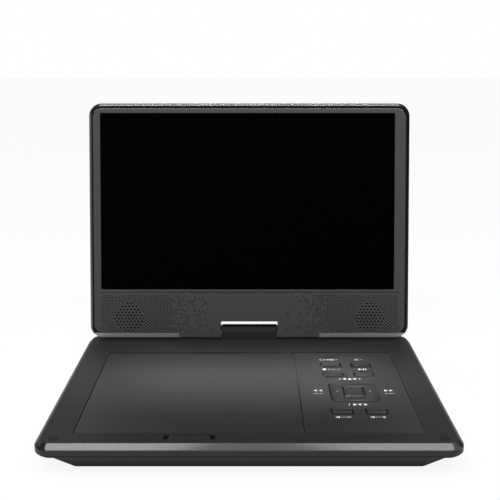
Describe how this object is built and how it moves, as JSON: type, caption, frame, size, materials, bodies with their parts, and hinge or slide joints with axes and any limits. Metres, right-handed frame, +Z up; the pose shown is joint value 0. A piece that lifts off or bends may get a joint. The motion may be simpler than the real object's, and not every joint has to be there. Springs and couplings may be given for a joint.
{
  "type": "portable disc player",
  "caption": "Portable disc player: flat base with disc bay, keys and side jacks, and a wide screen lid on a hinge that swivels and tilts.",
  "frame": {"origin": "on the table, under the middle of the open player's bounding box", "axes": "+X along the width to the player's right, +Y to its back, +Z up"},
  "size_m": [0.255, 0.2224, 0.2025],
  "materials": {
    "deck_black": "fine satin black",
    "pan_black": "textured black",
    "cover_black": "satin black",
    "bezel_black": "fine matt charcoal",
    "lid_gloss": "piano black",
    "hinge_black": "satin black",
    "key_black": "satin black",
    "screen": "dark glossy screen",
    "rubber": "matt rubber",
    "steel": "bright steel",
    "dark_screw": "blackened steel",
    "panel_frame": "thin tin-coloured frame",
    "zinc": "zinc-plated sheet",
    "board_green": "solder mask",
    "component_black": "moulded",
    "battery_wrap": "shrink wrap",
    "jack_black": "moulded",
    "jack_yellow": "moulded",
    "knob_silver": "silver",
    "tray_black": "matt black",
    "lens": "coated lens"
  },
  "bodies": {
    "root": {"base_top_shell": "deck_black", "base_bottom_shell": "pan_black", "rubber_feet": "rubber", "base_screws": "dark_screw", "disc_tray": "tray_black", "cover_spring": "steel", "latch_keeper": "component_black", "latch_spring": "steel", "drive_chassis": "zinc", "drive_dampers": "rubber", "drive_screws": "steel", "spindle_motor": "zinc", "guide_rods": "steel", "sled_motor": "zinc", "main_board": "board_green", "battery_pack": "battery_wrap", "key_board": "board_green", "tact_switches": "component_black", "power_switch": "component_black", "headphone_jack": "jack_black", "av_jack": "jack_yellow", "power_jack": "jack_black", "swivel_bracket": "zinc", "bracket_screws": "dark_screw"},
    "disc_cover": {"disc_cover": "cover_black", "cover_pins": "steel"},
    "open_slider": {"open_slider": "key_black"},
    "turntable": {"turntable": "component_black", "turntable_pad": "rubber", "clamp_balls": "steel", "spindle_shaft": "steel"},
    "pickup": {"pickup_sled": "zinc", "pickup_lens": "lens"},
    "lead_screw": {"lead_screw": "steel"},
    "key_source": {"key_source": "key_black"},
    "key_menu": {"key_menu": "key_black"},
    "key_stop": {"key_stop": "key_black"},
    "key_play": {"key_play": "key_black"},
    "key_volume_down": {"key_volume_down": "key_black"},
    "key_volume_up": {"key_volume_up": "key_black"},
    "navigation_ring": {"navigation_ring": "key_black"},
    "enter_key": {"enter_key": "key_black"},
    "power_knob": {"power_knob": "knob_silver"},
    "screen_hinge": {"hinge_block": "hinge_black", "swivel_shaft": "steel", "swivel_washer": "zinc", "tilt_pins": "steel"},
    "lid": {"lid_back_cover": "lid_gloss", "lid_front_bezel": "bezel_black", "screen_window": "screen", "lcd_panel": "panel_frame", "lcd_board": "board_green", "speaker_left": "component_black", "speaker_right": "component_black", "lid_screws": "dark_screw", "screw_plugs": "rubber", "hinge_leaves": "zinc", "leaf_screws": "dark_screw"}
  },
  "joints": [
    {"name": "screen_swivel", "type": "hinge", "parent": "root", "child": "screen_hinge", "pos_m": [0, 0.06864, 0.0283], "axis": [0, 0, 1], "range_deg": [-180, 0]},
    {"name": "screen_tilt", "type": "hinge", "parent": "screen_hinge", "child": "lid", "pos_m": [0, 0.06864, 0.0283], "axis": [-1, 0, 0], "range_deg": [-101.84, 78.16]},
    {"name": "disc_cover_hinge", "type": "hinge", "parent": "root", "child": "disc_cover", "pos_m": [-0.0363, 0.03444, 0.0189], "axis": [-1, 0, 0], "range_deg": [0, 50]},
    {"name": "open_slide", "type": "slide", "parent": "root", "child": "open_slider", "axis": [1, 0, 0], "range_m": [0, 0.0025], "stiffness_N_per_m": 150, "deforming": ["latch_spring"]},
    {"name": "disc_spin", "type": "hinge", "parent": "root", "child": "turntable", "pos_m": [-0.0363, -0.02951, 0.014], "axis": [0, 0, 1], "continuous": true},
    {"name": "pickup_slide", "type": "slide", "parent": "root", "child": "pickup", "axis": [1, 0, 0], "range_m": [0, 0.032]},
    {"name": "lead_screw_turn", "type": "hinge", "parent": "root", "child": "lead_screw", "pos_m": [-0.0363, -0.05501, 0.0074], "axis": [1, 0, 0], "range_deg": [-10, 3850]},
    {"name": "key_source_press", "type": "slide", "parent": "root", "child": "key_source", "axis": [0, 0, -1], "range_m": [0, 0.0006], "stiffness_N_per_m": 250},
    {"name": "key_menu_press", "type": "slide", "parent": "root", "child": "key_menu", "axis": [0, 0, -1], "range_m": [0, 0.0006], "stiffness_N_per_m": 250},
    {"name": "key_stop_press", "type": "slide", "parent": "root", "child": "key_stop", "axis": [0, 0, -1], "range_m": [0, 0.0006], "stiffness_N_per_m": 250},
    {"name": "key_play_press", "type": "slide", "parent": "root", "child": "key_play", "axis": [0, 0, -1], "range_m": [0, 0.0006], "stiffness_N_per_m": 250},
    {"name": "key_volume_down_press", "type": "slide", "parent": "root", "child": "key_volume_down", "axis": [0, 0, -1], "range_m": [0, 0.0006], "stiffness_N_per_m": 250},
    {"name": "key_volume_up_press", "type": "slide", "parent": "root", "child": "key_volume_up", "axis": [0, 0, -1], "range_m": [0, 0.0006], "stiffness_N_per_m": 250},
    {"name": "enter_key_press", "type": "slide", "parent": "root", "child": "enter_key", "axis": [0, 0, -1], "range_m": [0, 0.0006], "stiffness_N_per_m": 250},
    {"name": "navigation_ring_rock", "type": "hinge", "parent": "root", "child": "navigation_ring", "pos_m": [0.0703, -0.03536, 0.0169], "axis": [0, 1, 0], "range_deg": [-2, 2], "stiffness_Nm_per_rad": 0.05},
    {"name": "power_slide", "type": "slide", "parent": "root", "child": "power_knob", "axis": [0, 1, 0], "range_m": [0, 0.003]}
  ],
  "couplings": [
    {"joint": "lead_screw_turn", "follows": "pickup_slide", "rad_per_m": 2094.4}
  ]
}
